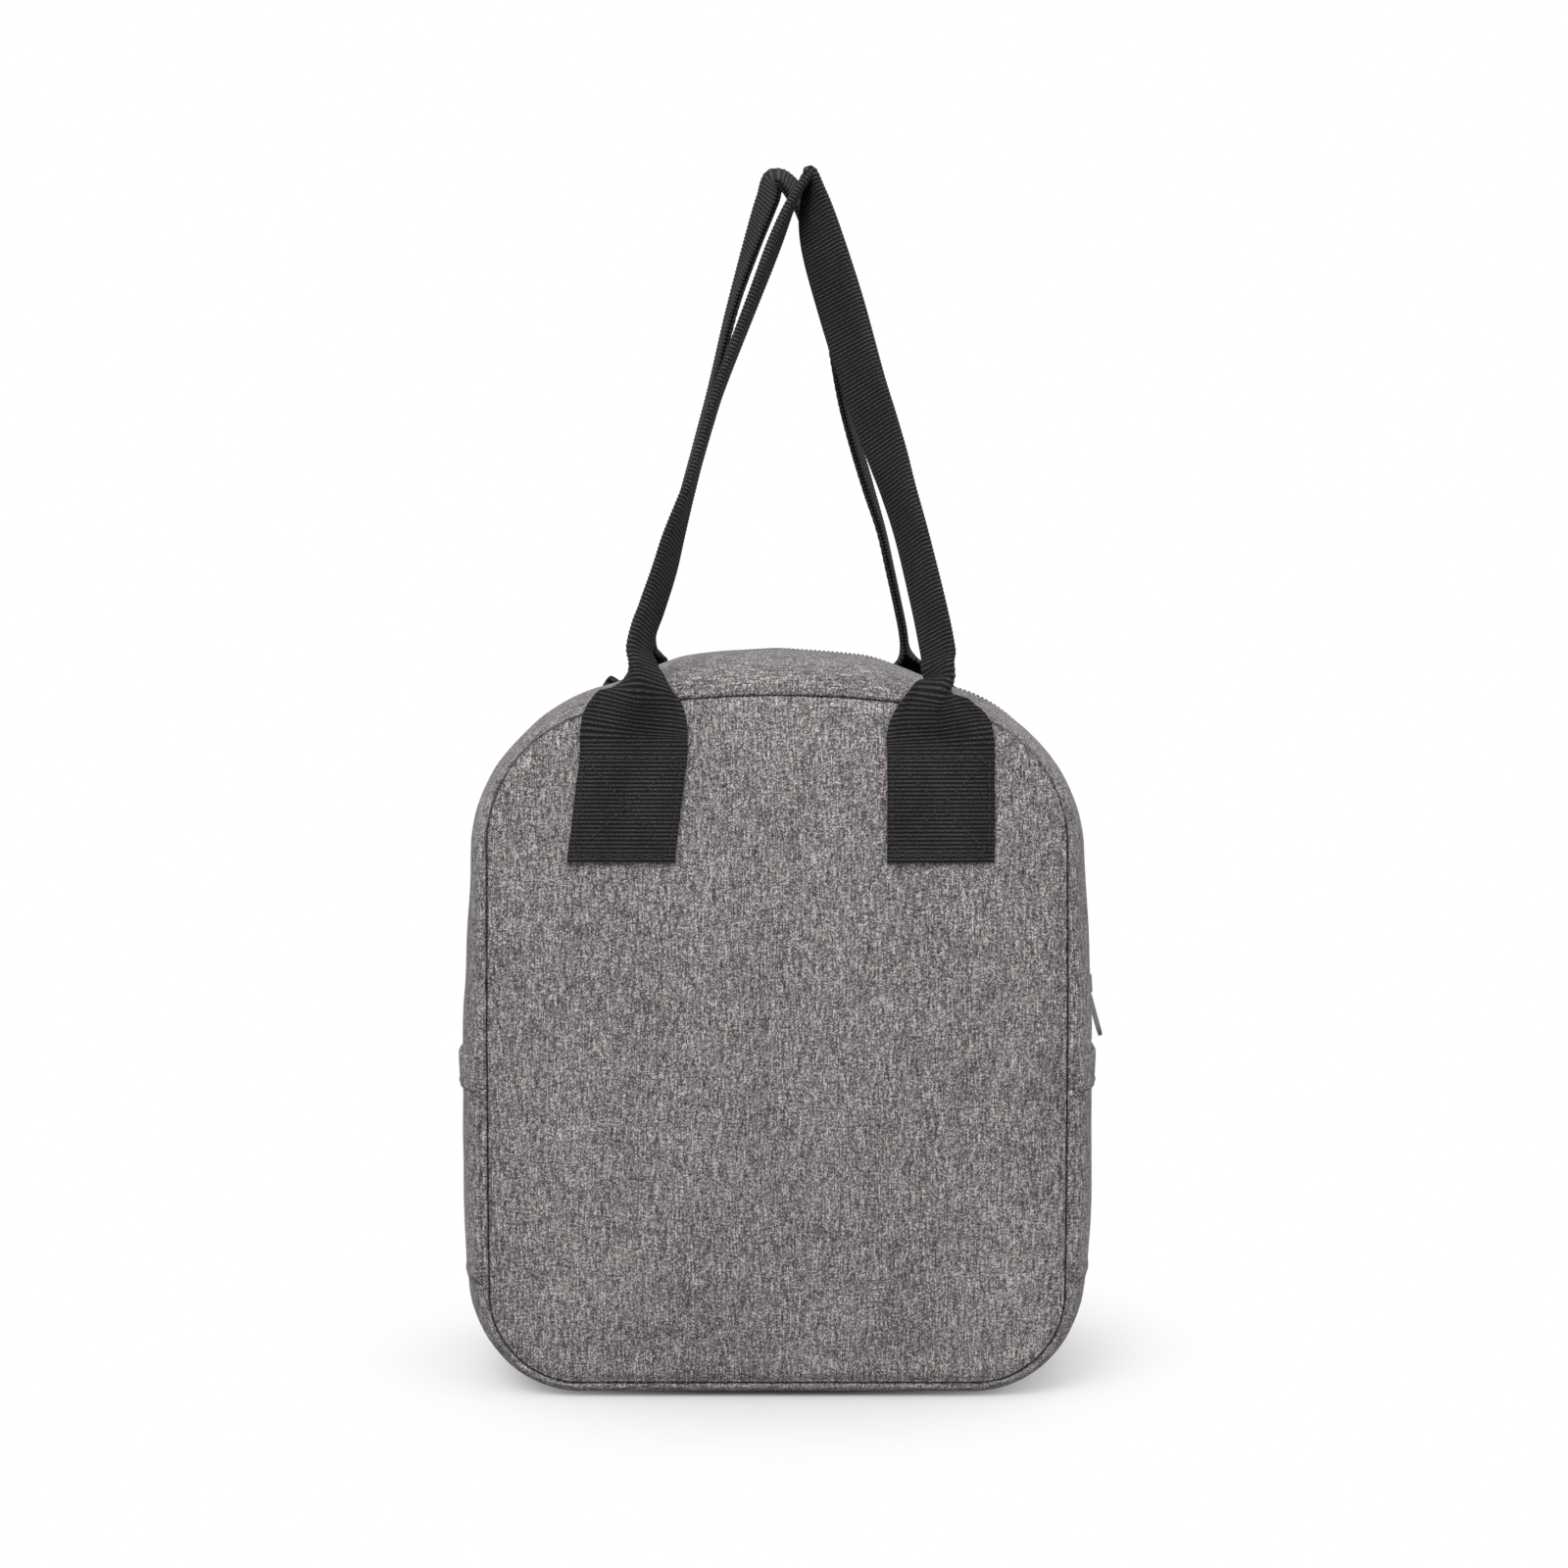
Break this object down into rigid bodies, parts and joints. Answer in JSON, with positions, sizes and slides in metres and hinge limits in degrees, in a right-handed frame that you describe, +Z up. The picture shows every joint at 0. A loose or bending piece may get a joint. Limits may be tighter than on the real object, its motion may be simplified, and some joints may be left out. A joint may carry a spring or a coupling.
{
  "type": "lunch bag",
  "caption": "Soft insulated lunch bag with a zipped front flap, slip pockets on both sides and two folded webbing handles.",
  "frame": {"origin": "middle of the flat base, on the surface that the bag stands on", "axes": "+Z up, +Y towards the front flap that opens, +X to the right when looking at the plain back"},
  "size_m": [0.2449, 0.1342, 0.4457],
  "materials": {
    "outer_fabric": "grey heather polyester, fine plain weave with pale vertical slubs",
    "foam": "closed-cell insulating foam",
    "lining": "smooth wipe-clean lining",
    "webbing": "black ribbed webbing, matt",
    "zipper_tape": "black knitted tape",
    "zipper_teeth": "black nylon coil",
    "binding": "black bias binding",
    "nickel": "nickel plate, slightly brushed"
  },
  "bodies": {
    "case": {"back_panel": "outer_fabric", "back_foam": "foam", "back_lining": "lining", "lower_gusset": "outer_fabric", "lower_gusset_foam": "foam", "lower_gusset_lining": "lining", "upper_gusset_back": "outer_fabric", "upper_gusset_back_foam": "foam", "upper_gusset_back_lining": "lining", "front_gusset_stub": "outer_fabric", "front_gusset_stub_foam": "foam", "front_gusset_stub_lining": "lining", "front_panel_lower": "outer_fabric", "front_foam_lower": "foam", "front_lining_lower": "lining", "side_pocket_left": "outer_fabric", "side_pocket_right": "outer_fabric", "pocket_hem_left": "outer_fabric", "pocket_hem_right": "outer_fabric", "zipper_tape_back": "zipper_tape", "zipper_teeth_back": "zipper_teeth", "zipper_tape_stub": "zipper_tape", "zipper_teeth_stub": "zipper_teeth", "zipper_stops": "nickel", "zipper_tail_left": "zipper_tape", "zipper_tail_right": "zipper_tape", "seam_binding_back": "binding", "seam_binding_front_lower": "binding", "handle_patch_back_left": "webbing", "handle_patch_back_right": "webbing"},
    "flap": {"front_panel_upper": "outer_fabric", "front_foam_upper": "foam", "front_lining_upper": "lining", "front_gusset_flap": "outer_fabric", "front_gusset_flap_foam": "foam", "front_gusset_flap_lining": "lining", "zipper_tape_front": "zipper_tape", "zipper_teeth_front": "zipper_teeth", "seam_binding_front_upper": "binding", "handle_patch_front_left": "webbing", "handle_patch_front_right": "webbing"},
    "back_handle": {"handle_loop_back": "webbing"},
    "front_handle": {"handle_loop_front": "webbing"},
    "slider": {"zipper_slider": "nickel"},
    "pull": {"zipper_pull": "nickel"}
  },
  "joints": [
    {"name": "flap_fold", "type": "hinge", "parent": "case", "child": "flap", "pos_m": [0, 0.0661, 0.1452], "axis": [-1, 0, 0], "range_deg": [0, 60]},
    {"name": "back_handle_swing", "type": "hinge", "parent": "case", "child": "back_handle", "pos_m": [0, -0.0648, 0.2315], "axis": [1, 0, 0], "range_deg": [0, 165]},
    {"name": "front_handle_swing", "type": "hinge", "parent": "flap", "child": "front_handle", "pos_m": [0, 0.0648, 0.2315], "axis": [-1, 0, 0], "range_deg": [0, 105]},
    {"name": "slider_run", "type": "slide", "parent": "case", "child": "slider", "axis": [-0.0708, 0, 0.9975], "range_m": [0, 0.04]},
    {"name": "pull_swing", "type": "hinge", "parent": "slider", "child": "pull", "pos_m": [0.11833, 0.027, 0.13814], "axis": [0, -1, 0], "range_deg": [0, 150]}
  ]
}
